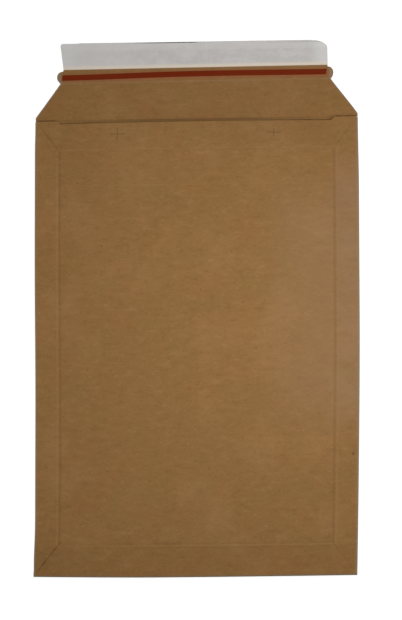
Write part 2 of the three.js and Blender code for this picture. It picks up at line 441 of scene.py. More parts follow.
@dataclass(frozen=True)
class KraftBoard:
    """Brown board's smooth outer ply, with fibres, flecks, some wear, and painted highlights,
    sheen and shade.
    """

    creases: CreaseMap
    base: Colour = (139, 102, 58)
    hue_scale: Triple = (38.0, 53.2, 38.0)
    cloud_scale: float = 24.0
    mottle_scale: Triple = (110.0, 240.0, 160.0)
    fibre_scale: Triple = (430.0, 760.0, 600.0)
    grain_scale: Triple = (900.0, 2600.0, 2000.0)
    warm: Fade = Fade((146, 99, 54), 0.24, 0.5, 0.68)
    olive: Fade = Fade((134, 106, 56), 0.24, 0.5, 0.32)
    pale_cloud: Fade = Fade(PALE_BOARD, 0.3, 0.45, 0.75)
    pale_mottle: Fade = Fade(PALE_BOARD, 0.5, 0.5, 0.8)
    deep_mottle: Fade = Fade(DEEP_BOARD, 0.42, 0.5, 0.2)
    pale_fibre: Fade = Fade(PALE_BOARD, 0.82, 0.55, 0.8)
    deep_fibre: Fade = Fade(DEEP_BOARD, 0.82, 0.45, 0.2)
    flecks: tuple[Fleck, ...] = (
        Fleck((172, 140, 98), 0.5, 210.0, 0.85),
        Fleck(PRINTED_BROWN, 0.45, 147.0, 0.92),
    )
    fleck_shape: Triple = (0.75, 1.3, 1.0)
    fleck_size: float = 0.13
    fleck_core: float = 0.052
    face_z: float = 2.0 * MM
    print_z: float = 3.0 * MM
    scuff_z: float = 4.2 * MM
    band_z: float = 0.8 * MM
    lip_z: float = 1.1 * MM
    crease_soft: float = 1.0 * MM
    # Painted highlights and painted shade beside the creases, down to second_line, where light
    # falls across them.
    left_lines: tuple[Line, ...] = (
        Line(CREASE_HIGHLIGHT, 0.1, -1.1 * MM, 0.6 * MM),
        Line(SHADED_BOARD, 0.16, 1.2 * MM, 1.0 * MM),
    )
    right_lines: tuple[Line, ...] = (
        Line(SHADED_BOARD, 0.34, -0.6 * MM, 0.7 * MM),
        Line(CREASE_HIGHLIGHT, 0.2, 1.9 * MM, 0.9 * MM),
    )
    bottom_lines: tuple[Line, ...] = (
        Line(CREASE_HIGHLIGHT, 0.22, 0.0, 0.5 * MM),
        Line(SHADED_BOARD, 0.18, -1.6 * MM, 0.7 * MM),
        Line(SHADED_BOARD, 0.1, 1.6 * MM, 0.6 * MM),
    )
    top_line: Line = Line(CREASE_HIGHLIGHT, 0.2, 0.0, 0.5 * MM)
    second_line: Line = Line(CREASE_HIGHLIGHT, 0.14, 0.0, 0.5 * MM)
    bottom_fold: Fade = Fade((104, 72, 34), 0.13, 1.0 * MM, -2.0 * MM)
    # Painted shade along the mitre creases at the corners.
    mitre_shade_tone: Colour = (98, 68, 36)
    mitre_half: float = 0.45 * MM
    mitre_soft: float = 0.55 * MM
    mitre_grain: float = 260.0
    mitre_breaks: Span = (0.38, 0.6)
    mitre_faint: float = 0.4
    mitre_reach: Triple = (0.38, 0.42, 0.2)
    low_mitres: Span = (1.0, 0.2)
    top_mitres: Span = (0.5, 0.22)
    bottom_clears: Span = (-95.0 * MM, 20.0 * MM)
    bottom_faint: float = 0.3
    mark_amount: float = 0.55
    mark_half: float = 0.35 * MM
    mark_soft: float = 0.25 * MM
    mark_end_soft: float = 0.3 * MM
    trace_tone: Colour = (150, 80, 58)
    trace_ends: Span = (107.0 * MM, 103.0 * MM)
    trace_reach: Span = (3.2 * MM, 0.3 * MM)
    trace_below: float = 1.5 * MM
    trace_amounts: Span = (0.22, 0.46)
    # Greyer patches on the right border: rubbed wear and a painted sheen.
    sheen_and_rub_tone: Colour = (152, 122, 98)
    side_amounts: Span = (0.12, 0.56)
    side_patches: float = 55.0
    side_low: Span = (-110.0 * MM, -60.0 * MM)
    side_top: Span = (128.0 * MM, 96.0 * MM)
    side_inner: Span = (-4.0 * MM, 5.0 * MM)
    # A painted sheen on the panel beside the right border.
    sheen_wash: Fade = Fade((154, 126, 98), 0.22, 40.0 * MM, 90.0 * MM)
    sheen_wash_right: Span = (107.0 * MM, 104.0 * MM)
    sheen_wash_top: Span = (120.0 * MM, 60.0 * MM)
    rim_tone: Colour = (146, 130, 112)
    rim_amount: float = 0.55
    rim_side: Span = (-1.9 * MM, -0.5 * MM)
    rim_low: Span = (1.6 * MM, 0.5 * MM)
    taper_start: float = 2.2 * MM
    flap_tint: Fade = Fade((112, 74, 40), 0.1, 0.0, 6.0 * MM)
    perforated: Line = Line((160, 130, 96), 0.3, 0.0, 0.5 * MM)
    # Painted light inside the mouth, over its shadow.
    mouth_fill_light: Line = Line((182, 138, 82), 0.55, -4.2 * MM, 3.4 * MM)
    # Painted shade: the dark line of the mouth's shadow.
    mouth_shade_line: Line = Line((106, 74, 42), 0.25, -0.4 * MM, 0.8 * MM, 0.4 * MM)
    fill_light_middle: Span = (94.0 * MM, 64.0 * MM)
    fill_light_least: float = 0.3
    # Painted shade on the face below the mouth, at the right.
    mouth_brow_shade: Fade = Fade((108, 74, 46), 0.14, -34.0 * MM, -12.0 * MM)
    brow_left: Span = (0.0, 60.0 * MM)
    brow_right: Span = (110.0 * MM, 102.0 * MM)
    # Painted shadow under the liner, at the lip's end.
    lip_end_shadow: Fade = Fade((84, 78, 70), 0.8, 58.4 * MM, 59.3 * MM)
    scuff_tone: Colour = (100, 68, 42)
    scuff_grain: float = 900.0
    scuff_ragged: float = 1.2 * MM
    scuff_edge: Span = (1.0 * MM, 0.2 * MM)
    scuffs: tuple[Scuff, ...] = (
        Scuff(85.5 * MM, 27.4 * MM, 0.28),
        Scuff(120.6 * MM, -113.5 * MM, 0.6),
    )

    def material(self) -> bpy.types.Material:
        """Builds the material.

        Returns:
            The finished material.
        """
        paint = Paint("kraft_board", self.base)
        for add in (
            self._fibres, self._flecks, self._creases, self._mitres, self._marks,
            self._tape_trace, self._right_sheen_and_rub, self._rims, self._mouth, self._scuffs,
        ):
            add(paint)
        tree = paint.tree
        grain = tree.noise(paint.place, self.grain_scale, 3.0, 0.6)
        mottle = tree.noise(paint.place, self.mottle_scale, 3.0, 0.55)
        bumps = ((grain, 0.12, 0.05 * MM), (mottle, 0.25, 0.06 * MM))
        return paint.finish(tree.scaled(grain, 0.72, 0.92), 0.16, *bumps)

    def _fibres(self, paint: Paint) -> None:
        """Hues, clouds, mottling and fibres.

        Args:
            paint: The material so far.
        """
        tree = paint.tree
        hue = tree.noise(paint.place, self.hue_scale, 2.0, 0.6)
        cloud = tree.noise(paint.place, self.cloud_scale, 2.0, 0.5)
        mottle = tree.noise(paint.place, self.mottle_scale, 4.0, 0.6)
        fibre = tree.noise(paint.place, self.fibre_scale, 3.0, 0.65)
        for pattern, layers in (
            (hue, (self.warm, self.olive)),
            (cloud, (self.pale_cloud,)),
            (mottle, (self.pale_mottle, self.deep_mottle)),
            (fibre, (self.pale_fibre, self.deep_fibre)),
        ):
            for layer in layers:
                paint.lay(layer, pattern)

    def _flecks(self, paint: Paint) -> None:
        """Scattered flecks, one in some of a pattern's cells.

        Args:
            paint: The material so far.
        """
        tree = paint.tree
        stretched = tree.stretched(paint.place, self.fleck_shape)
        for fleck in self.flecks:
            cells = tree.node("ShaderNodeTexVoronoi", {"Vector": stretched, "Scale": fleck.scale})
            near = tree.fade(cells.outputs["Distance"], self.fleck_size, self.fleck_core)
            draw = tree.node("ShaderNodeSeparateColor", {"Color": cells.outputs["Color"]})
            picked = tree.math("GREATER_THAN", draw.outputs[0], fleck.empty)
            paint.tint(fleck.tone, fleck.amount, near, picked)

    def _creases(self, paint: Paint) -> None:
        """Painted highlight and painted shade lines along the crease frame, and a darker bottom
        fold.

        Args:
            paint: The material so far.
        """
        tree, frame, soft = paint.tree, self.creases, self.crease_soft
        front = paint.above(self.face_z)
        across = tree.math("ABSOLUTE", paint.x)
        inside_x = tree.fade(across, frame.side_x + soft, frame.side_x - soft)
        inside_x = tree.product(inside_x, front)
        inside_y = tree.product(
            tree.fade(paint.y, frame.bottom_y - soft, frame.bottom_y + soft),
            tree.fade(paint.y, frame.top_y + soft, frame.top_y - soft),
            front,
        )
        for side, lines in zip(Side, (self.left_lines, self.right_lines)):
            for line in lines:
                paint.draw(line, paint.x, side * frame.side_x, inside_y)
        clearer = tree.scaled(tree.fade(paint.x, *self.bottom_clears), self.bottom_faint, 1.0)
        for line in self.bottom_lines:
            paint.draw(line, paint.y, frame.bottom_y, inside_x, clearer)
        paint.draw(self.top_line, paint.y, frame.top_y, inside_x)
        paint.draw(self.second_line, paint.y, frame.second_y, inside_x)
        paint.lay(self.bottom_fold, tree.math("SUBTRACT", paint.y, frame.bottom_y), front)

    def _mitres(self, paint: Paint) -> None:
        """Painted shade in dark broken lines from the frame's corners to the panel's, deepest at
        the lower left.

        Args:
            paint: The material so far.
        """
        tree, frame = paint.tree, self.creases
        broken = tree.noise(paint.place, self.mitre_grain, 2.0, 0.6)
        broken = tree.scaled(tree.fade(broken, *self.mitre_breaks), self.mitre_faint, 1.0)
        broken = tree.product(broken, paint.above(self.face_z))
        run = frame.side_edge_x - frame.side_x
        for corner_y, inner_y, amounts in (
            (frame.low_edge_y, frame.bottom_y, self.low_mitres),
            (frame.crease_y, frame.top_y, self.top_mitres),
        ):
            rise = corner_y - inner_y
            length = math.hypot(run, rise)
            along = tree.product(tree.math("SUBTRACT", paint.y, inner_y), run / length)
            for side, amount in zip(Side, amounts):
                across = tree.math("SUBTRACT", tree.product(paint.x, float(side)), frame.side_x)
                offset = tree.math("SUBTRACT", tree.product(across, rise / length), along)
                line = tree.band(offset, 0.0, self.mitre_half, self.mitre_soft)
                reach = tree.band(across, *(share * run for share in self.mitre_reach))
                paint.tint(self.mitre_shade_tone, amount, line, reach, broken)

    def _marks(self, paint: Paint) -> None:
        """Thin printed crosses where the sheets were lined up for cutting.

        Args:
            paint: The material so far.
        """
        tree = paint.tree
        printed = paint.above(self.print_z)
        for mark in self.creases.marks:
            strokes = []
            for across, at, along, middle, half in (
                (paint.x, mark.x, paint.y, mark.y, mark.half_y),
                (paint.y, mark.y, paint.x, mark.x, mark.half_x),
            ):
                stroke = tree.band(across, at, self.mark_half, self.mark_soft)
                ends = tree.band(along, middle, half, self.mark_end_soft)
                strokes.append(tree.product(stroke, ends))
            both = tree.math("MAXIMUM", *strokes)
            paint.tint(PRINTED_BROWN, self.mark_amount, both, printed)

    def _tape_trace(self, paint: Paint) -> None:
        """A trace of the red film's colour on the board beside it, stronger below it.

        Args:
            paint: The material so far.
        """
        tree, tape = paint.tree, self.creases.tape
        across = tree.fade(tree.math("ABSOLUTE", paint.x), *self.trace_ends)
        near = tree.fade(tape.distance(paint), *self.trace_reach)
        below = tree.fade(paint.y, tape.centre_y, tape.centre_y - self.trace_below)
        strength = tree.scaled(below, *self.trace_amounts)
        paint.tint(self.trace_tone, strength, near, across, paint.above(self.band_z))

    def _right_sheen_and_rub(self, paint: Paint) -> None:
        """The right border, greyer in patches of rubbed wear and painted sheen, and a painted
        sheen beside it.

        Args:
            paint: The material so far.
        """
        tree = paint.tree
        reach = tree.product(
            tree.fade(paint.y, *self.side_low),
            tree.fade(paint.y, *self.side_top),
            paint.above(self.face_z),
        )
        past_side = tree.math("SUBTRACT", paint.x, self.creases.side_x)
        border = tree.fade(past_side, *self.side_inner)
        patches = tree.noise(paint.place, self.side_patches, 2.0, 0.5)
        paint.tint(self.sheen_and_rub_tone, tree.scaled(patches, *self.side_amounts), border, reach)
        inside = tree.fade(paint.x, *self.sheen_wash_right)
        paint.lay(self.sheen_wash, paint.x, inside, tree.fade(paint.y, *self.sheen_wash_top), reach)

    def _rims(self, paint: Paint) -> None:
        """The sheet's greyer outer edges, the flap's tint and its rubbed perforations.

        Args:
            paint: The material so far.
        """
        tree, frame = paint.tree, self.creases
        past_crease = tree.math("SUBTRACT", paint.y, frame.crease_y)
        edge_x = tree.node("ShaderNodeMapRange", {
            "Value": past_crease,
            "From Min": self.taper_start,
            "From Max": frame.notch_y - frame.crease_y,
            "To Min": frame.side_edge_x,
            "To Max": frame.notch_x,
        }).outputs["Result"]
        to_side = tree.math("SUBTRACT", tree.math("ABSOLUTE", paint.x), edge_x)
        side = tree.fade(to_side, *self.rim_side)
        low = tree.fade(tree.math("SUBTRACT", paint.y, frame.low_edge_y), *self.rim_low)
        paint.tint(self.rim_tone, self.rim_amount, tree.math("MAXIMUM", side, low))
        paint.lay(self.flap_tint, past_crease)
        for row_y in (frame.notch_y, frame.lip_y):
            paint.draw(self.perforated, paint.y, row_y)

    def _mouth(self, paint: Paint) -> None:
        """Painted light inside the mouth over its shadow, a painted shade line at the mouth,
        painted shade on the face below it and a painted shadow at the lip's end.

        Args:
            paint: The material so far.
        """
        tree, crease_y = paint.tree, self.creases.crease_y
        front = paint.above(self.face_z)
        inside = tree.math("LESS_THAN", paint.z, self.face_z)
        middle = tree.fade(tree.math("ABSOLUTE", paint.x), *self.fill_light_middle)
        middle = tree.math("MAXIMUM", middle, self.fill_light_least)
        paint.draw(self.mouth_fill_light, paint.y, crease_y, middle, inside)
        paint.draw(self.mouth_shade_line, paint.y, crease_y, inside)
        past_crease = tree.math("SUBTRACT", paint.y, crease_y)
        right = (tree.fade(paint.x, *self.brow_left), tree.fade(paint.x, *self.brow_right))
        paint.lay(self.mouth_brow_shade, past_crease, *right, front)
        paint.lay(self.lip_end_shadow, past_crease, paint.above(self.lip_z))

    def _scuffs(self, paint: Paint) -> None:
        """Small dark spots with ragged edges.

        Args:
            paint: The material so far.
        """
        tree = paint.tree
        for scuff in self.scuffs:
            spot = {0: paint.place, 1: (scuff.x, scuff.y, self.scuff_z)}
            away = tree.node("ShaderNodeVectorMath", spot, operation="DISTANCE").outputs["Value"]
            ragged = tree.noise(paint.place, self.scuff_grain, 2.0, 0.6)
            ragged = tree.product(ragged, self.scuff_ragged)
            near = tree.fade(tree.math("SUBTRACT", away, ragged), *self.scuff_edge)
            paint.tint(self.scuff_tone, scuff.amount, near)


@dataclass(frozen=True)
class CutBoard:
    """The board's cut edge: rougher and a little greyer than its face."""

    base: Colour = (118, 88, 56)
    pale_ply: Fade = Fade((150, 116, 76), 1.0, 0.35, 0.7)
    ply_scale: Triple = (500.0, 500.0, 3200.0)

    def material(self) -> bpy.types.Material:
        """Builds the material.

        Returns:
            The finished material.
        """
        paint = Paint("cut_board", self.base)
        plies = paint.tree.noise(paint.place, self.ply_scale, 4.0, 0.7)
        paint.lay(self.pale_ply, plies)
        return paint.finish(0.95, 0.15, (plies, 0.5, 0.1 * MM))


@dataclass(frozen=True)
class RedFilm:
    """Oriented plastic tear tape, dark red, with fine lines along it."""

    base: Colour = (110, 34, 3)
    pale_line: Fade = Fade((122, 46, 14), 1.0, 0.45, 0.8)
    line_scale: Triple = (25.0, 3000.0, 900.0)
    patch_scale: Triple = (60.0, 200.0, 200.0)

    def material(self) -> bpy.types.Material:
        """Builds the material.

        Returns:
            The finished material.
        """
        paint = Paint("red_film", self.base)
        tree = paint.tree
        lines = tree.noise(paint.place, self.line_scale, 3.0, 0.6)
        patches = tree.noise(paint.place, self.patch_scale, 2.0, 0.5)
        paint.lay(self.pale_line, lines, tree.scaled(patches, 0.1, 0.8))
        return paint.finish(tree.scaled(lines, 0.38, 0.56), 0.08, (lines, 0.25, 0.03 * MM))


@dataclass(frozen=True)
class LinerPaper:
    """Silicone-coated release paper: pale grey, satin, with a warm lower rim and a painted shadow
    under its raised top edge.
    """

    low_y: float
    high_y: float
    half_x: float
    adhesive_top_y: float
    base: Colour = (192, 188, 184)
    bright: Colour = (207, 204, 202)
    cloud_scale: Triple = (90.0, 160.0, 90.0)
    speckle_scale: Triple = (420.0, 520.0, 400.0)
    loose: Fade = Fade((207, 204, 202), 0.4, -0.6 * MM, 0.6 * MM)
    left: Fade = Fade((207, 204, 202), 0.45, -30.0 * MM, -70.0 * MM)
    left_end: Fade = Fade((212, 210, 207), 0.5, -14.0 * MM, -4.0 * MM)
    right_end: Fade = Fade((212, 210, 207), 0.9, -16.0 * MM, -3.0 * MM)
    # Painted shadow under the liner's raised top edge.
    top_line: Line = Line((140, 138, 134), 0.4, -1.1 * MM, 0.2 * MM, 0.35 * MM)
    top_line_start: Span = (50.0 * MM, 74.0 * MM)
    low_rim: Fade = Fade((226, 211, 191), 0.85, 3.6 * MM, 0.8 * MM)

    def material(self) -> bpy.types.Material:
        """Builds the material.

        Returns:
            The finished material.
        """
        paint = Paint("liner_paper", self.base)
        tree, x, y = paint.tree, paint.x, paint.y
        cloud = tree.fade(tree.noise(paint.place, self.cloud_scale, 4.0, 0.65), 0.42, 0.7)
        speckle = tree.scaled(tree.noise(paint.place, self.speckle_scale, 2.0, 0.6), -0.32, 0.56)
        paper = tree.math("ADD", tree.product(cloud, 0.5), speckle, clamp=True)
        paint.tint(self.bright, 1.0, paper)
        paint.lay(self.loose, tree.math("SUBTRACT", y, self.adhesive_top_y))
        paint.lay(self.left, x)
        paint.lay(self.left_end, tree.math("SUBTRACT", -self.half_x, x))
        paint.lay(self.right_end, tree.math("SUBTRACT", x, self.half_x))
        # Painted shadow under the liner's raised top edge.
        paint.draw(self.top_line, y, self.high_y, tree.fade(x, *self.top_line_start))
        paint.lay(self.low_rim, tree.math("SUBTRACT", y, self.low_y))
        grain = tree.noise(paint.place, 2600.0, 3.0, 0.6)
        return paint.finish(tree.scaled(grain, 0.42, 0.6), 0.4, (grain, 0.06, 0.02 * MM))


@dataclass(frozen=True)
class SetGlue:
    """Glue or adhesive seen only at the edge of a seam: cloudy and a little glossy."""

    name: str
    pale: Colour
    roughness: float
    depth: float = 0.86

    def material(self) -> bpy.types.Material:
        """Builds the material.

        Returns:
            The finished material.
        """
        red, green, blue = (int(channel * self.depth) for channel in self.pale)
        paint = Paint(self.name, (red, green, blue), on_sheet=False)
        cloud = paint.tree.noise(paint.place, 240.0, 3.0, 0.6)
        paint.tint(self.pale, 1.0, paint.tree.fade(cloud, 0.35, 0.7))
        return paint.finish(self.roughness, 0.5, (cloud, 0.3, 0.05 * MM))


def fine_lines(start: float, end: float, spacing: float, dense: Sequence[Triple]) -> np.ndarray:
    """Grid lines between two ends, closer together around chosen places.

    Args:
        start: First line.
        end: Last line.
        spacing: Usual distance between lines.
        dense: Ranges as (from, to, spacing) with their own closer spacing.

    Returns:
        The lines' places, in order.
    """
    places = [start]
    while places[-1] < end:
        here = places[-1]
        step = spacing
        for low, high, close in dense:
            if low - TINY <= here < high - TINY:
                step = min(step, close)
            elif here < low < here + step:
                step = min(step, low - here)
        places.append(here + step)
    places = places[:-1]
    if end - places[-1] < CLOSEST_LINES and len(places) > 1:
        places = places[:-1]
    places.append(end)
    return np.array(places)


def slab(name: str, upper: np.ndarray, lower: np.ndarray) -> bpy.types.Object:
    """Makes a closed sheet from its two faces.

    Args:
        name: The object's name.
        upper: Points of the upper face, as rows by columns by three.
        lower: Points of the lower face, the same shape.

    Returns:
        The object, with its walls in the cut edge's slot.
    """
    rows, columns = upper.shape[:2]
    count = rows * columns
    index = np.arange(count).reshape(rows, columns)
    corners = (index[:-1, :-1], index[:-1, 1:], index[1:, 1:], index[1:, :-1])
    top = np.stack([part.ravel() for part in corners], axis=1)
    bottom = np.stack([part.ravel() + count for part in reversed(corners)], axis=1)
    rim = np.concatenate([index[0, :-1], index[:-1, -1], index[-1, :0:-1], index[:0:-1, 0]])
    after = np.roll(rim, -1)
    walls = np.stack([rim, rim + count, after + count, after], axis=1)
    faces = np.concatenate([top, bottom, walls])
    points = np.concatenate([upper.reshape(-1, 3), lower.reshape(-1, 3)])
    mesh = bpy.data.meshes.new(name)
    mesh.from_pydata(points.tolist(), [], faces.tolist())
    slots = np.full(len(faces), BoardSurface.FACE, np.int32)
    slots[len(top) + len(bottom):] = BoardSurface.CUT_EDGE
    mesh.polygons.foreach_set("material_index", slots)
    made = bpy.data.objects.new(name, mesh)
    bpy.context.scene.collection.objects.link(made)
    face_out(made)
    return made


def face_out(piece: bpy.types.Object) -> None:
    """Merges doubles and turns every face of a closed mesh outwards.

    Args:
        piece: The object whose mesh is put right.
    """
    work = bmesh.new()
    work.from_mesh(piece.data)
    bmesh.ops.remove_doubles(work, verts=work.verts, dist=SAME_PLACE)
    bmesh.ops.recalc_face_normals(work, faces=work.faces)
    work.to_mesh(piece.data)
    work.free()


def smooth_faces(piece: bpy.types.Object, sharp_angle: float = math.radians(32)) -> None:
    """Shades a piece smooth.

    Args:
        piece: The object to shade.
        sharp_angle: Edges past this angle are kept sharp.
    """
    piece.data.polygons.foreach_set("use_smooth", [True] * len(piece.data.polygons))
    piece.data.set_sharp_from_angle(angle=sharp_angle)
    piece.data.update()


def cover(piece: bpy.types.Object, *finishes: bpy.types.Material | None) -> None:
    """Gives a piece its materials in the place of those it has.

    Args:
        piece: The object.
        finishes: The materials, or None for an empty slot.
    """
    piece.data.materials.clear()
    for finish in finishes:
        piece.data.materials.append(finish)


def dress_on_flap(
    piece: bpy.types.Object, finish: bpy.types.Material, node: str
) -> None:
    """Finishes a piece that is stuck to the closing flap.

    Args:
        piece: The object.
        finish: Its material.
        node: The CAD node that it stands for.
    """
    cover(piece, finish)
    smooth_faces(piece)
    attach(piece, Body.FLAP.value)
    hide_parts(node)


def combine(base: bpy.types.Object, other: bpy.types.Object, operation: str) -> bpy.types.Object:
    """Joins or cuts a piece with another, which is then removed.

    Args:
        base: The piece that is kept.
        other: The piece that is joined on or cut away.
        operation: UNION or DIFFERENCE.

    Returns:
        The base with its new mesh.
    """
    modifier = base.modifiers.new("combine", "BOOLEAN")
    modifier.operation = operation
    modifier.object = other
    modifier.solver = "EXACT"
    modifier.material_mode = "INDEX"
    plain_mesh(base)
    bpy.data.objects.remove(other)
    return base


def plain_mesh(piece: bpy.types.Object) -> None:
    """Turns a piece's evaluated form into its mesh and clears its modifiers.

    Args:
        piece: The object with live modifiers.
    """
    graph = bpy.context.evaluated_depsgraph_get()
    mesh = bpy.data.meshes.new_from_object(piece.evaluated_get(graph))
    piece.modifiers.clear()
    piece.data = mesh


def wave(x: float, y: float, scale: float, seed: float) -> float:
    """Smooth random height of about -1 to 1 at a place in plan."""
    return noise.noise(Vector((x * scale, y * scale, seed)))


def smooth_step(value: np.ndarray | float, start: float, end: float) -> np.ndarray | float:
    """A smooth step from 0 at start to 1 at end."""
    part = np.clip((value - start) / (end - start), 0, 1)
    return part * part * (3 - 2 * part)


@dataclass
class Settling:
    """How the mailer lies in plan: up to three millimetres out of square, inside its box."""

    crease_y: float
    bottom_y: float
    half_width: float
    low_right_draw: float = 2.9 * MM
    low_right_start: float = -10.0 * MM
    left_waist: float = 0.88 * MM
    left_tab_push: float = 0.62 * MM
    flap_right_draw: float = 1.3 * MM
    mouth_right_draw: float = 0.6 * MM
    flap_left_draw: float = 0.3 * MM
    bottom_peak_x: float = -38.0 * MM
    bottom_lift: float = 0.2 * MM
    bottom_left_rise: float = 0.85 * MM
    bottom_right_rise: float = 1.25 * MM
    lip_draw: float = 0.45 * MM
    flap_turn: float = 0.0065
    curve_power: float = 1.5
    low_power: float = 4.0
    mouth_right_run: Span = (-56.0 * MM, 0.0)
    flap_right_run: Span = (4.0 * MM, 29.0 * MM)
    mouth_left_run: Span = (-24.0 * MM, -6.0 * MM)
    waist_high: Span = (50.0 * MM, -80.0 * MM)
    waist_low: Span = (9.0 * MM, 42.0 * MM)
    tab_low: Span = (29.5 * MM, 32.0 * MM)
    tab_high: Span = (40.0 * MM, 38.0 * MM)
    lip_run: Span = (34.0 * MM, 60.0 * MM)
    turn_run: Span = (-36.0 * MM, 44.0 * MM)

    def past_crease(self, y: np.ndarray, run: Span) -> np.ndarray:
        """A smooth step between two distances past the crease."""
        return smooth_step(y, self.crease_y + run[0], self.crease_y + run[1])

    def right_draw(self, y: np.ndarray) -> np.ndarray:
        """How far the right side is drawn in.

        Args:
            y: Places along the length.

        Returns:
            The distance at each place.
        """
        low = np.clip((self.low_right_start - y) / (self.low_right_start - self.bottom_y), 0, 1)
        draw = self.low_right_draw * low**self.curve_power
        draw += self.mouth_right_draw * self.past_crease(y, self.mouth_right_run)
        return draw + self.flap_right_draw * self.past_crease(y, self.flap_right_run)

    def left_draw(self, y: np.ndarray) -> np.ndarray:
        """How far the left side is drawn in: at the waist and the mouth, but not at the tab.

        Args:
            y: Places along the length.

        Returns:
            The distance at each place.
        """
        low, high = self.waist_low
        waist = smooth_step(y, *self.waist_high)
        waist = waist * smooth_step(y, self.bottom_y + low, self.bottom_y + high)
        tab = self.past_crease(y, self.tab_low) * self.past_crease(y, self.tab_high)
        draw = self.left_waist * waist - self.left_tab_push * tab
        return draw + self.flap_left_draw * self.past_crease(y, self.mouth_left_run)

    def bottom_rise(self, x: np.ndarray) -> np.ndarray:
        """How far the bottom edge is lifted in plan, least at its peak.

        Args:
            x: Places across.

        Returns:
            The distance at each place.
        """
        peak, power = self.bottom_peak_x, self.curve_power
        right = np.clip((x - peak) / (self.half_width - peak), 0, 1) ** power
        left = np.clip((peak - x) / (self.half_width + peak), 0, 1) ** power
        return self.bottom_lift + self.bottom_right_rise * right + self.bottom_left_rise * left

    def settle(self, piece: bpy.types.Object) -> None:
        """Stores a piece's places on the squared sheet as an attribute, then moves it in plan.

        Args:
            piece: A finished mesh of the sheet or of what is stuck to it.
        """
        count = len(piece.data.vertices)
        places = np.empty(count * 3)
        piece.data.vertices.foreach_get("co", places)
        stored = piece.data.attributes.new(SHEET_PLACE, "FLOAT_VECTOR", "POINT")
        stored.data.foreach_set("vector", places)
        places = places.reshape(count, 3)
        x, y = places[:, 0].copy(), places[:, 1].copy()
        right_share = (x / self.half_width + 1) / 2
        low_share = np.clip((self.crease_y - y) / (self.crease_y - self.bottom_y), 0, 1)
        lip_share = self.past_crease(y, self.lip_run)
        turn = self.flap_turn * self.past_crease(y, self.turn_run) * (1 - lip_share)
        places[:, 0] += self.left_draw(y) * (1 - right_share) - self.right_draw(y) * right_share
        lift = self.bottom_rise(x) * low_share**self.low_power
        places[:, 1] += lift + turn * x - self.lip_draw * lip_share
        piece.data.vertices.foreach_set("co", places.ravel())
        piece.data.update()


def rounding(from_end: float, width: float, length: float) -> float:
    """How far a rounded corner draws an edge in.

    Args:
        from_end: Distance from the sheet's end.
        width: The corner's width along that end.
        length: The corner's length along the edge.

    Returns:
        The distance that the edge is drawn in.
    """
    over = min(max((length - from_end) / length, 0.0), 1.0)
    return width * (1 - math.sqrt(1 - over**2))


@dataclass
class Outline:
    """Half widths of the closing flap, from its crease to the lip's end."""

    crease_y: float
    base_half: float = 124.8 * MM
    notch_half: float = 105.4 * MM
    notch_at: float = 29.0 * MM
    tab_tip_at: float = 34.1 * MM
    tab_reach: float = 2.1 * MM
    tab_shoulder: float = 4.5 * MM
    lip_at: float = 39.0 * MM
    lip_half: float = 103.0 * MM
    lip_end_at: float = 60.2 * MM
    lip_end_half: float = 102.8 * MM
    lip_corner_length: float = 6.5 * MM
    lip_corner_width: float = 12.8 * MM
    spine: float = 2.2 * MM

    def half(self, y: float) -> float:
        """Half the flap's width at a place along it.

        Args:
            y: Place along the length, in the frame.

        Returns:
            The half width there.
        """
        at = y - self.crease_y
        if at <= self.notch_at:
            part = max(at - self.spine, 0.0) / (self.notch_at - self.spine)
            return self.base_half + (self.notch_half - self.base_half) * part
        if at <= self.tab_tip_at:
            below = self.tab_tip_at - self.notch_at
            radius = (self.tab_reach**2 + below**2) / (2 * self.tab_reach)
            rise = self.tab_tip_at - at
            return self.notch_half + self.tab_reach - radius + math.sqrt(radius**2 - rise**2)
        if at < self.lip_at:
            rise = at - self.tab_tip_at
            centre = self.notch_half + self.tab_reach - self.tab_shoulder
            return max(centre + math.sqrt(max(self.tab_shoulder**2 - rise**2, 0.0)), self.lip_half)
        part = (at - self.lip_at) / (self.lip_end_at - self.lip_at)
        half = self.lip_half + (self.lip_end_half - self.lip_half) * part
        return half - rounding(self.lip_end_at - at, self.lip_corner_width, self.lip_corner_length)


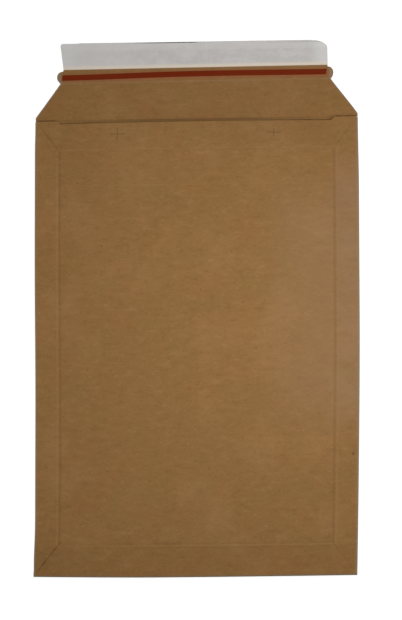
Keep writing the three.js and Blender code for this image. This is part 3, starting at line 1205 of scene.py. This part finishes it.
@dataclass
class FoldedBlank:
    """The mailer's one sheet of board: back, side folds, front panel and closing flap."""

    outline: Outline
    creases: CreaseMap
    bottom_y: float
    half_width: float
    end_y: float
    top_z: float
    thickness: float = 1.2 * MM
    fold_gap: float = 0.3 * MM
    glue_film: float = 0.2 * MM
    glue_flap: float = 18.5 * MM
    mitre: float = 25.0 * MM
    setback: float = 0.6 * MM
    bottom_radius: float = 1.6 * MM
    mouth_recess: float = 3.3 * MM
    mouth_bow: float = 0.15 * MM
    shoulder_recess: float = 1.0 * MM
    right_shoulder: float = 0.85 * MM
    right_shoulder_recess: float = 0.6 * MM
    bend_start: float = 0.9 * MM
    groove_depth: float = 0.26 * MM
    groove_width: float = 0.75 * MM
    top_share: float = 0.7
    second_share: float = 0.45
    mitre_share: float = 0.8
    ripple: float = 0.16 * MM
    arch_power: float = 2.5
    ramp_power: float = 6.0
    shoulder_step: float = 3.2 * MM
    mouth_reach: float = 12.0 * MM
    crease_band: float = 2.4 * MM
    end_rise: float = 0.55 * MM
    end_wave: float = 0.35 * MM
    flat_rim: float = 0.8 * MM
    quiet_edge: float = 3.0 * MM
    ripple_down: float = 0.3
    side_buried: float = 2.0 * MM
    bottom_buried: float = 4.0 * MM
    least_radius: float = 0.02 * MM
    leg_end: float = 0.04 * MM
    back_spacing: float = 4.5 * MM
    back_columns: int = 81
    fold_columns: int = 60
    front_spacing: float = 3.2 * MM
    corner_swell: float = 0.9
    close_rows: tuple[Triple, ...] = (
        (-0.4 * MM, 4.0 * MM, 0.2 * MM),
        (28.4 * MM, 40.4 * MM, 0.3 * MM),
        (54.0 * MM, 60.2 * MM, 0.35 * MM),
        (4.0 * MM, 54.0 * MM, 1.2 * MM),
    )
    bulge: float = field(init=False)
    front_low: float = field(init=False)

    def __post_init__(self) -> None:
        """Works out the layers' heights."""
        self.front_low = 2 * self.thickness + self.fold_gap + self.glue_film
        self.bulge = self.top_z - self.front_low - self.thickness

    def flap_rise(self, x: float, y: float) -> float:
        """How far the flap's board stands off the surface.

        Args:
            x: Place across.
            y: Place along the length.

        Returns:
            The height of the board's underside.
        """
        away = max(y - self.outline.crease_y - self.outline.spine, 0.0)
        part = min(away / (self.end_y - self.outline.crease_y), 1.0)
        waves = wave(x, y, 9.0, 3.1) + 0.4 * wave(x, y, 26.0, 8.2)
        return part * part * (self.end_rise + self.end_wave * waves)

    def lift(self, x: float, y: float) -> float:
        """How far the front panel bulges.

        Args:
            x: Place across.
            y: Place along the length.

        Returns:
            The height of the bulge.
        """
        flat_x = self.creases.side_x - self.flat_rim
        flat_y = self.creases.bottom_y + self.flat_rim
        mouth = self.creases.crease_y - self.mouth_recess
        across = max(1 - abs(x / flat_x) ** self.arch_power, 0.0)
        along = min(max((y - flat_y) / (mouth - flat_y), 0.0), 1.0)
        return self.bulge * across * (1 - (1 - along) ** self.ramp_power)

    def groove(self, x: float, y: float) -> float:
        """Depth of the pressed creases on the front panel.

        Args:
            x: Place across.
            y: Place along the length.

        Returns:
            The depth of the deepest crease there.
        """
        frame = self.creases
        side = abs(x)
        deep = 0.0
        if frame.bottom_y < y < frame.top_y:
            deep = self._dent(side - frame.side_x)
        if side < frame.side_x:
            deep = max(deep, self._dent(y - frame.bottom_y))
            deep = max(deep, self.top_share * self._dent(y - frame.top_y))
            deep = max(deep, self.second_share * self._dent(y - frame.second_y))
        else:
            run = self.half_width - frame.side_x
            low, top = (self.bottom_y, frame.bottom_y), (frame.crease_y, frame.top_y)
            for corner_y, inner_y in (low, top):
                rise = inner_y - corner_y
                if (y - inner_y) * rise < 0:
                    along = Vector((run, -rise)).normalized()
                    offset = Vector((side - frame.side_x, y - inner_y))
                    away = along.x * offset.y - along.y * offset.x
                    deep = max(deep, self.mitre_share * self._dent(away))
        return deep

    def _dent(self, distance: float) -> float:
        """A crease's section."""
        return self.groove_depth * math.exp(-((distance / self.groove_width) ** 2))

    def face_height(self, x: float, y: float) -> float:
        """Height of the front panel's upper face.

        Args:
            x: Place across.
            y: Place along the length.

        Returns:
            The height, never past the CAD box.
        """
        from_edge = (abs(x) - self.half_width) / self.quiet_edge
        soft = 0.5 * (1 - math.exp(-from_edge ** 2))
        waves = wave(x * 0.6, y, 17.0, 0.7) + 0.5 * wave(x * 0.5, y, 60.0, 5.3)
        ripple = soft * self.ripple * waves
        height = self.front_low + self.thickness + self.lift(x, y) - self.groove(x, y)
        return min(height + ripple - self.ripple_down * self.ripple, self.top_z)

    def mouth_setback(self, x: float) -> float:
        """How far the mouth's edge stands below the flap's crease.

        Args:
            x: Place across.

        Returns:
            The distance, less at the shoulders.
        """
        shoulder = self.creases.side_x - (self.right_shoulder if x > 0 else 0.0)
        reach = (shoulder + self.shoulder_step / 2 - abs(x)) / self.shoulder_step
        step = min(max(reach, 0.0), 1.0)
        step = step * step * (3 - 2 * step)
        bow = self.mouth_bow * max(1 - (x / self.creases.side_x) ** 2, 0.0)
        recess = self.right_shoulder_recess if x > 0 else self.shoulder_recess
        return recess + step * (self.mouth_recess - recess - bow)

    def build(self) -> bpy.types.Object:
        """Builds the whole sheet as one closed mesh.

        Returns:
            The sheet's object.
        """
        board = self._back_and_flap()
        for side in Side:
            board = combine(board, self._side_fold(side), "UNION")
        board = combine(board, self._front(), "UNION")
        board.name = "folded_board"
        logger.info("folded_board: %d faces", len(board.data.polygons))
        return board

    def _back_and_flap(self) -> bpy.types.Object:
        """Back panel and closing flap: one flat sheet with the flap's outline.

        Returns:
            The sheet as a closed mesh.
        """
        crease = self.outline.crease_y
        fold = self.thickness + self.fold_gap / 2
        inner = self.half_width - fold
        start = self.bottom_y + self.bottom_radius
        dense = [(crease + low, crease + high, close) for low, high, close in self.close_rows]
        rows = fine_lines(start, self.end_y, self.back_spacing, dense)
        shares = np.linspace(-1, 1, self.back_columns)
        upper = np.zeros((len(rows), len(shares), 3))
        for j, y in enumerate(rows):
            half = self.outline.half(y)
            if y < crease:
                blend = min(max((y - (crease - fold)) / fold, 0.0), 1.0)
                half = inner + (self.outline.base_half - inner) * blend
            for i, share in enumerate(shares):
                x = share * half
                upper[j, i] = (x, y, self.flap_rise(x, y))
        lower = upper.copy()
        upper[:, :, 2] += self.thickness
        for j, y in enumerate(rows):
            for at, share, narrow in (
                (0.0, 0.8, 1.0),
                (self.outline.spine, 0.8, 1.0),
                (self.outline.notch_at, 0.5, 1.6),
                (self.outline.lip_at, 0.5, 1.6),
            ):
                upper[j, :, 2] -= share * self._dent((y - crease - at) * narrow)
        return slab("back_and_flap", upper, lower)

    def _hook(
        self, stack: float, radius: float, leg: float, buried: float
    ) -> tuple[np.ndarray, np.ndarray]:
        """The section of a fold, from the buried leg's end round to the free one.

        Args:
            stack: Height of the fold from its lower to its upper face.
            radius: Radius of its outer corners.
            leg: Length of the free leg.
            buried: Length of the leg inside the back panel.

        Returns:
            Outer and inner points, as distance in from the fold and height.
        """
        turns = np.linspace(0, math.pi / 2, 7)
        thin = self.leg_end
        outlines = []
        for inset, start in ((0.0, thin), (self.thickness, self.thickness - thin)):
            bend = max(radius - inset, self.least_radius)
            points = [(buried, start)]
            for turn in turns:
                height = inset + bend - bend * math.cos(turn)
                points.append((radius - bend * math.sin(turn), height))
            for turn in turns:
                height = stack - inset - bend + bend * math.sin(turn)
                points.append((radius - bend * math.cos(turn), height))
            points.append((leg, stack - inset))
            outlines.append(np.array(points))
        return outlines[0], outlines[1]

    def _side_fold(self, side: Side) -> bpy.types.Object:
        """A side fold and its glue flap, mitred at both ends.

        Args:
            side: Which side of the mailer.

        Returns:
            The fold as a closed mesh.
        """
        stack = 2 * self.thickness + self.fold_gap
        buried = stack / 2 + self.side_buried
        outer, inner = self._hook(stack, stack / 2, self.glue_flap, buried)
        start = self.bottom_y + self.bottom_radius
        end = self.creases.crease_y - self.shoulder_recess
        steps = np.linspace(0, 1, self.fold_columns)
        faces = []
        for section in (outer, inner):
            points = np.zeros((len(section), len(steps), 3))
            for j, (inwards, height) in enumerate(section):
                free = j > len(section) // 2
                cut = self.mitre * inwards / self.glue_flap if free else 0.0
                low, high = start + cut, end - cut
                points[j, :, 0] = side * (self.half_width - inwards)
                points[j, :, 1] = low + (high - low) * steps
                points[j, :, 2] = height
            faces.append(points)
        return slab(f"side_fold_{side.name.lower()}", faces[0], faces[1])

    def _front(self) -> bpy.types.Object:
        """Front panel and bottom fold, swept up from inside the back panel.

        Returns:
            The panel as a closed mesh.
        """
        frame = self.creases
        half = self.half_width - self.setback
        crease_band = self.crease_band
        columns = fine_lines(-half, half, self.front_spacing, [
            (-half, -frame.side_x - crease_band, 1.0 * MM),
            (-frame.side_x - crease_band, -frame.side_x + crease_band, 0.5 * MM),
            (frame.side_x - crease_band, frame.side_x + crease_band, 0.5 * MM),
            (frame.side_x + crease_band, half, 1.0 * MM),
        ])
        stack = self.front_low + self.thickness
        leg = self.bottom_radius + 0.4 * MM
        buried = self.bottom_radius + self.bottom_buried
        outer, inner = self._hook(stack, self.bottom_radius, leg, buried)
        first = self.bottom_y + leg + 0.6 * MM
        rows = fine_lines(first, frame.crease_y, self.front_spacing, [
            (self.bottom_y, frame.bottom_y - crease_band, 1.0 * MM),
            (frame.bottom_y - crease_band, frame.bottom_y + crease_band, 0.5 * MM),
            (frame.second_y - crease_band, frame.second_y + crease_band, 0.6 * MM),
            (frame.top_y - crease_band, frame.top_y + crease_band, 0.5 * MM),
            (frame.top_y + crease_band, frame.crease_y, 1.0 * MM),
        ])
        fold_count = len(outer)
        shape = (fold_count + len(rows), len(columns), 3)
        upper, lower = np.zeros(shape), np.zeros(shape)
        for j in range(fold_count):
            for points, section in ((upper, outer), (lower, inner)):
                points[j, :, 0] = columns
                points[j, :, 1] = self.bottom_y + section[j][0]
                points[j, :, 2] = section[j][1]
        for j, row in enumerate(rows):
            ease = min(j / 4, 1.0)
            near_mouth = max(0.0, 1 - (frame.crease_y - row) / self.mouth_reach)
            for i, x in enumerate(columns):
                y = row - self.mouth_setback(x) * near_mouth
                top = stack + (self.face_height(x, y) - stack) * ease
                upper[fold_count + j, i] = (x, y, top)
                lower[fold_count + j, i] = (x, y, max(self.front_low + self.lift(x, y), 0.0))
        for points in (upper, lower):
            low = smooth_step(points[:, :, 1], self.bottom_y + 8 * MM, self.bottom_y + 2 * MM)
            points[:, :, 0] *= 1 + low * self.corner_swell * self.setback / half
        return slab("front_panel", upper, lower)

    def dress(self, board: bpy.types.Object, *finishes: bpy.types.Material) -> None:
        """Gives the sheet its materials, shades it smooth and hides the CAD board and flap that it
        stands for.

        Args:
            board: The sheet.
            finishes: Materials of its faces and of its cut edges.
        """
        cover(board, *finishes)
        smooth_faces(board)
        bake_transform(board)
        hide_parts("board_pocket", "closing_flap")


@dataclass
class Perforations:
    """Short slits along the tear band's two edges."""

    outline: Outline
    slit: float = 3.6 * MM
    pitch: float = 5.4 * MM
    width: float = 0.08 * MM
    depth: float = 0.75 * MM
    board_top: float = 1.2 * MM

    def cut(self, board: bpy.types.Object) -> bpy.types.Object:
        """Cuts both rows of slits out of the board.

        Args:
            board: The folded sheet.

        Returns:
            The sheet with its slits.
        """
        for at, half in (
            (self.outline.notch_at, self.outline.notch_half),
            (self.outline.lip_at, self.outline.lip_half),
        ):
            cutter = self._row(self.outline.crease_y + at, half - self.pitch / 2)
            board = combine(board, cutter, "DIFFERENCE")
        slit, pitch = self.slit / MM, self.pitch / MM
        logger.info("perforations: slits %.1f mm long every %.1f mm", slit, pitch)
        return board

    def _row(self, y: float, half: float) -> bpy.types.Object:
        """One row of slit-shaped cutters, made by Geometry Nodes.

        Args:
            y: Place of the row along the length.
            half: Half the row's length.

        Returns:
            The cutters as one mesh.
        """
        group = bpy.data.node_groups.new("slit_row", "GeometryNodeTree")
        values = {
            "Slit": self.slit,
            "Width": self.width,
            "Depth": self.depth,
            "Half Length": half,
            "Row Y": y,
            "Board Top": self.board_top,
            "Count": int(2 * half / self.pitch) + 1,
        }
        sockets = {}
        for label, value in values.items():
            kind = "NodeSocketInt" if isinstance(value, int) else "NodeSocketFloat"
            sockets[label] = group.interface.new_socket(label, in_out="INPUT", socket_type=kind)
        group.interface.new_socket("Finish", in_out="INPUT", socket_type="NodeSocketMaterial")
        group.interface.new_socket("Geometry", in_out="OUTPUT", socket_type="NodeSocketGeometry")
        tree = Tree(group)
        given = tree.node("NodeGroupInput").outputs

        def vector(x: object, y: object, z: object) -> Socket:
            """Joins three values."""
            return tree.node("ShaderNodeCombineXYZ", {"X": x, "Y": y, "Z": z}).outputs[0]

        level = (given["Row Y"], given["Board Top"])
        back = tree.product(given["Half Length"], -1.0)
        line = tree.node("GeometryNodeMeshLine", {
            "Count": given["Count"],
            "Start Location": vector(back, *level),
            "Offset": vector(given["Half Length"], *level),
        }, mode="END_POINTS").outputs[0]
        size = vector(given["Slit"], given["Width"], given["Depth"])
        box = tree.node("GeometryNodeMeshCube", {"Size": size}).outputs[0]
        rows = {"Points": line, "Instance": box}
        placed = tree.node("GeometryNodeInstanceOnPoints", rows).outputs[0]
        solid = tree.node("GeometryNodeRealizeInstances", {"Geometry": placed}).outputs[0]
        dressed = {"Geometry": solid, "Material": given["Finish"]}
        finished = tree.node("GeometryNodeSetMaterial", dressed).outputs[0]
        tree.node("NodeGroupOutput", {"Geometry": finished})
        cutter = bpy.data.objects.new("slits", bpy.data.meshes.new("slits"))
        bpy.context.scene.collection.objects.link(cutter)
        modifier = cutter.modifiers.new("slits", "NODES")
        modifier.node_group = group
        for label, value in values.items():
            modifier[sockets[label].identifier] = value
        plain_mesh(cutter)
        cover(cutter, None, None)
        edge = np.full(len(cutter.data.polygons), BoardSurface.CUT_EDGE, np.int32)
        cutter.data.polygons.foreach_set("material_index", edge)
        return cutter


def flat_strip(
    name: str,
    rows: np.ndarray,
    left: Callable[[float], float],
    right: Callable[[float], float],
    height: Callable[[float, float], float],
    thickness: float,
    columns: int,
) -> bpy.types.Object:
    """A thin strip that follows a surface.

    Args:
        name: The object's name.
        rows: Lines along the strip's width.
        left: Left end at a line.
        right: Right end at a line.
        height: Height of the strip's underside at a place in plan.
        thickness: Its thickness.
        columns: How many cells it has along its length.

    Returns:
        The strip.
    """
    shares = np.linspace(0, 1, columns + 1)
    lower = np.zeros((len(rows), len(shares), 3))
    for j, y in enumerate(rows):
        low, high = left(y), right(y)
        for i, share in enumerate(shares):
            x = low + (high - low) * share
            lower[j, i] = (x, y, height(x, y))
    upper = lower + np.array([0, 0, thickness])
    made = slab(name, upper, lower)
    made.data.polygons.foreach_set("material_index", np.zeros(len(made.data.polygons), np.int32))
    return made


@dataclass
class TearTape:
    """The red tape that is stuck along the tear band."""

    blank: FoldedBlank
    low: Vector
    high: Vector
    line: TapeLine
    skin: float = 0.01 * MM
    left_in: float = 0.7 * MM
    right_out: float = 0.5 * MM
    slant: float = 0.9 * MM
    left_slant: float = 0.36 * MM
    ragged: float = 0.35 * MM

    def left(self, y: float) -> float:
        """The tape's cut left end."""
        return self._end(y, self.low.x + self.left_in, self.left_slant, 1.3)

    def right(self, y: float) -> float:
        """The tape's cut right end."""
        return self._end(y, self.high.x + self.right_out, self.slant, 2.9)

    def _end(self, y: float, x: float, slant: float, seed: float) -> float:
        """A slanting, ragged end.

        Args:
            y: Place along the length.
            x: The end's middle.
            slant: How far it leans over the tape's width.
            seed: Picks the ragged edge.

        Returns:
            The end's place across.
        """
        lean = slant * (y - self.line.centre_y) / (2 * self.line.half_width)
        return x + lean + self.ragged * wave(y, seed, 900.0, seed)

    def height(self, x: float, y: float) -> float:
        """Height of the tape's underside."""
        return self.blank.thickness + self.skin + self.blank.flap_rise(x, y)

    def build(self) -> bpy.types.Object:
        """Builds the tape over its CAD place, following the board.

        Returns:
            The tape's object.
        """
        low_y = self.line.centre_y - self.line.half_width
        high_y = self.line.centre_y + self.line.half_width
        thickness = self.high.z - self.low.z - 2 * self.skin
        rows = np.linspace(low_y, high_y, 9)
        tape = flat_strip("tear_film", rows, self.left, self.right, self.height, thickness, 110)
        for vertex in tape.data.vertices:
            vertex.co.y -= self.line.drop(vertex.co.x)
        logger.info("tear_film: %.1f mm long", (self.high.x - self.low.x) / MM)
        return tape

    def dress(self, tape: bpy.types.Object, finish: bpy.types.Material) -> None:
        """Gives the tape its film and sets it on the flap."""
        dress_on_flap(tape, finish, "tear_tape")


@dataclass
class ReleaseLiner:
    """The white paper over the lip's adhesive: flat where it sticks, loose above it."""

    blank: FoldedBlank
    low: Vector
    high: Vector
    adhesive_top_y: float
    lip_half: float = 103.0 * MM
    thickness: float = 0.09 * MM
    left_radius: float = 2.3 * MM
    top_peek: float = 0.5 * MM
    low_hang: float = 0.2 * MM
    right_corner_width: float = 13.0 * MM
    right_corner_length: float = 6.6 * MM
    right_lean: float = 0.2 * MM
    top_curl: float = 0.5 * MM
    low_curl: float = 0.16 * MM
    low_curl_reach: float = 1.6 * MM
    corner_curl: float = 1.1 * MM
    corner_reach: float = 16.0 * MM
    peek_left: Span = (-60.0 * MM, -32.0 * MM)
    peek_right: Span = (8.0 * MM, -4.0 * MM)
    peek_reach: float = 3.0 * MM
    hang_reach: float = 4.0 * MM

    def left(self, y: float) -> float:
        """The liner's left edge, which leans out towards the top."""
        edge = -self.lip_half + (self.low.x + self.lip_half) * self._share(y)
        return edge + rounding(self.high.y - y, self.left_radius, self.left_radius)

    def right(self, y: float) -> float:
        """The liner's right edge."""
        edge = self.lip_half - self.right_lean * self._share(y)
        return edge - rounding(self.high.y - y, self.right_corner_width, self.right_corner_length)

    def _share(self, y: float) -> float:
        """How far up the liner a place is, from 0 to 1."""
        return (y - self.low.y) / (self.high.y - self.low.y)

    def height(self, x: float, y: float) -> float:
        """Height of the liner's underside, loose above the adhesive and at its lower edge.

        Args:
            x: Place across.
            y: Place along the length.

        Returns:
            The height.
        """
        loose = max(y - self.adhesive_top_y, 0.0) / (self.high.y - self.adhesive_top_y)
        low_edge = max(1 - (y - self.low.y) / self.low_curl_reach, 0.0)
        corner = max((x - self.lip_half) / self.corner_reach + 1, 0.0) * loose
        curl = self.top_curl * loose**1.5 * (1 + 0.8 * wave(x, y, 14.0, 6.4))
        curl += self.low_curl * low_edge**2 + self.corner_curl * corner**1.6
        return self.low.z + self.blank.flap_rise(x, y) + curl

    def build(self) -> bpy.types.Object:
        """Builds the liner over the lip.

        Returns:
            The liner's object.
        """
        rows = fine_lines(self.low.y, self.high.y, 0.8 * MM, [
            (self.low.y, self.low.y + 2 * MM, 0.3 * MM),
            (self.high.y - self.right_corner_length, self.high.y - 0.6 * MM, 0.4 * MM),
            (self.high.y - 0.6 * MM, self.high.y, 0.06 * MM),
        ])
        edges = (self.left, self.right, self.height)
        liner = flat_strip("lip_liner", rows, *edges, self.thickness, 140)
        for vertex in liner.data.vertices:
            place = vertex.co
            shown = smooth_step(place.x, *self.peek_left) * smooth_step(place.x, *self.peek_right)
            shown *= smooth_step(place.y, self.high.y - self.peek_reach, self.high.y)
            place.y -= self.top_peek * shown
            hanging = smooth_step(place.y, self.low.y + self.hang_reach, self.low.y)
            place.y -= self.low_hang * hanging
        logger.info("lip_liner: %.1f mm wide", (self.high.y - self.low.y) / MM)
        return liner

    def dress(self, liner: bpy.types.Object, finish: bpy.types.Material) -> None:
        """Gives the liner its paper and sets it on the flap."""
        dress_on_flap(liner, finish, "release_liner")


@dataclass
class Studio:
    """Pale floor, soft light and the photograph's camera."""

    floor_half: float = 6.0
    camera_place: Triple = (0.24705, -0.31377, 3.04029)
    camera_turn_deg: Triple = (5.834, 4.593, -0.088)
    lens_mm: float = 232.26
    sensor_mm: float = 36.0
    floor_drop: float = 0.02 * MM
    floor_white: float = 0.88
    floor_grey: float = 0.32
    bounce_grey: float = 0.8
    sky: float = 0.36

    def build(self) -> None:
        """Builds the whole studio."""
        self._camera()
        self._floor()
        self._world()
        self._lamp("softbox", (0.075, 0.0, 0.35), (0.36, 0.12), 0.76, target=(0.075, 0.0, 0.0))
        self._lamp("key", (0.95, 0.05, 0.75), (0.6, 0.6), 3.6)
        logger.info("studio: floor, world, two lamps and the camera")

    def _camera(self) -> None:
        """Looks down on the mailer from a long way off, leaning to the lower right."""
        data = bpy.data.cameras.new("camera")
        data.lens = self.lens_mm
        data.sensor_width = self.sensor_mm
        data.clip_start, data.clip_end = 0.05, 60.0
        camera = bpy.data.objects.new("camera", data)
        camera.location = self.camera_place
        camera.rotation_euler = [math.radians(turn) for turn in self.camera_turn_deg]
        bpy.context.scene.collection.objects.link(camera)
        bpy.context.scene.camera = camera

    def _floor(self) -> None:
        """A white floor that still takes the object's shadow."""
        mesh = bpy.data.meshes.new("floor")
        reach = self.floor_half
        turns = ((-1, -1), (1, -1), (1, 1), (-1, 1))
        corners = [(x * reach, y * reach, -self.floor_drop) for x, y in turns]
        mesh.from_pydata(corners, [], [(0, 1, 2, 3)])
        floor = bpy.data.objects.new("floor", mesh)
        bpy.context.scene.collection.objects.link(floor)
        material = bpy.data.materials.new("floor_white")
        material.use_nodes = True
        tree = Tree(material.node_tree)
        material.node_tree.nodes.clear()
        rays = tree.node("ShaderNodeLightPath")
        seen = tree.math("MAXIMUM", rays.outputs["Is Camera Ray"], rays.outputs["Is Glossy Ray"])
        seen = tree.math("MAXIMUM", seen, rays.outputs["Is Transmission Ray"])
        glow = {"Color": (1, 1, 1, 1), "Strength": self.floor_white}
        white = tree.node("ShaderNodeEmission", glow)
        matte = tree.node("ShaderNodeBsdfDiffuse", {"Color": (*[self.floor_grey] * 3, 1)})
        lit = tree.node("ShaderNodeAddShader", {0: white.outputs[0], 1: matte.outputs[0]})
        plain = tree.node("ShaderNodeBsdfDiffuse", {"Color": (*[self.bounce_grey] * 3, 1)})
        both = tree.node("ShaderNodeMixShader", {0: seen, 1: plain.outputs[0], 2: lit.outputs[0]})
        tree.node("ShaderNodeOutputMaterial", {"Surface": both.outputs[0]})
        mesh.materials.append(material)

    def _world(self) -> None:
        """Even white surroundings, seen as white."""
        world = bpy.data.worlds.new("studio")
        world.use_nodes = True
        bpy.context.scene.world = world
        world.node_tree.nodes.clear()
        tree = Tree(world.node_tree)
        rays = tree.node("ShaderNodeLightPath")
        seen = tree.node("ShaderNodeBackground", {"Color": (1, 1, 1, 1), "Strength": 1.0})
        even = {"Color": (1, 1, 1, 1), "Strength": self.sky}
        lights = tree.node("ShaderNodeBackground", even)
        both = tree.node(
            "ShaderNodeMixShader",
            {0: rays.outputs["Is Camera Ray"], 1: lights.outputs[0], 2: seen.outputs[0]},
        )
        tree.node("ShaderNodeOutputWorld", {"Surface": both.outputs[0]})

    def _lamp(
        self,
        name: str,
        place: Triple,
        size: Span,
        power: float,
        target: Triple = (0.0, 0.0, 0.0),
    ) -> None:
        """A soft rectangular lamp, unseen by the camera.

        Args:
            name: The lamp's name.
            place: Where it hangs.
            size: Its width and length.
            power: Its power in watts.
            target: Where it looks.
        """
        data = bpy.data.lights.new(name, "AREA")
        data.shape = "RECTANGLE"
        data.size, data.size_y = size
        data.energy = power
        lamp = bpy.data.objects.new(name, data)
        lamp.location = place
        lamp.rotation_euler = (Vector(target) - Vector(place)).to_track_quat("-Z", "Y").to_euler()
        lamp.visible_camera = False
        bpy.context.scene.collection.objects.link(lamp)


def dress_hidden(frame: dict) -> None:
    """Gives the glue films and the covered adhesive their finishes; their CAD shapes stay.

    Args:
        frame: The loaded frame.
    """
    hot_melt = SetGlue("hot_melt", (202, 191, 156), 0.45).material()
    adhesive = SetGlue("seal_adhesive", (214, 206, 180), 0.35).material()
    for node, finish in (
        ("left_seam_glue", hot_melt),
        ("right_seam_glue", hot_melt),
        ("closure_adhesive", adhesive),
    ):
        cover(frame["nodes"][node], finish)
        logger.info("%s: CAD shape with its own finish", node)


def main() -> None:
    """Builds the mailer and its studio."""
    logging.basicConfig(level=logging.INFO, format="%(name)s: %(message)s")
    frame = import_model()
    scene = bpy.context.scene
    scene.view_settings.view_transform = "Standard"

    pocket_low, pocket_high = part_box("board_pocket")
    flap_low, flap_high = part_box("closing_flap")
    tape_low, tape_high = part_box("tear_tape")
    liner_low, liner_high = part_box("release_liner")
    adhesive_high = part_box("closure_adhesive")[1]
    crease_y = pocket_low.y + POCKET_LENGTH
    outline = Outline(crease_y=crease_y)
    tape_line = TapeLine(
        centre_y=(tape_low.y + tape_high.y) / 2,
        half_width=(tape_high.y - tape_low.y) / 2 + 0.12 * MM,
        left_x=tape_low.x,
        right_x=tape_high.x,
    )
    creases = CreaseMap(
        side_x=pocket_high.x - 18.5 * MM,
        side_edge_x=pocket_high.x,
        low_edge_y=pocket_low.y,
        bottom_y=pocket_low.y + 24.4 * MM,
        top_y=crease_y - 23.9 * MM,
        second_y=crease_y - 52.0 * MM,
        crease_y=crease_y,
        notch_x=outline.notch_half,
        notch_y=crease_y + outline.notch_at,
        lip_y=crease_y + outline.lip_at,
        tape=tape_line,
        marks=(
            Cross(-60.7 * MM, crease_y - 12.0 * MM, 6.2 * MM, 5.0 * MM),
            Cross(60.3 * MM, crease_y - 12.2 * MM, 5.8 * MM, 3.5 * MM),
        ),
    )
    blank = FoldedBlank(
        outline=outline,
        creases=creases,
        bottom_y=pocket_low.y,
        half_width=pocket_high.x,
        end_y=flap_high.y,
        top_z=pocket_high.z,
    )
    settling = Settling(crease_y, pocket_low.y, pocket_high.x)
    board = Perforations(outline).cut(blank.build())
    settling.settle(board)
    blank.dress(board, KraftBoard(creases).material(), CutBoard().material())

    tape = TearTape(blank, tape_low, tape_high, tape_line)
    film = tape.build()
    settling.settle(film)
    tape.dress(film, RedFilm().material())

    liner = ReleaseLiner(blank, liner_low, liner_high, adhesive_high.y)
    paper = liner.build()
    settling.settle(paper)
    finish = LinerPaper(liner_low.y, liner_high.y, liner.lip_half, adhesive_high.y)
    liner.dress(paper, finish.material())

    dress_hidden(frame)
    Studio().build()


if __name__ == "__main__":
    main()
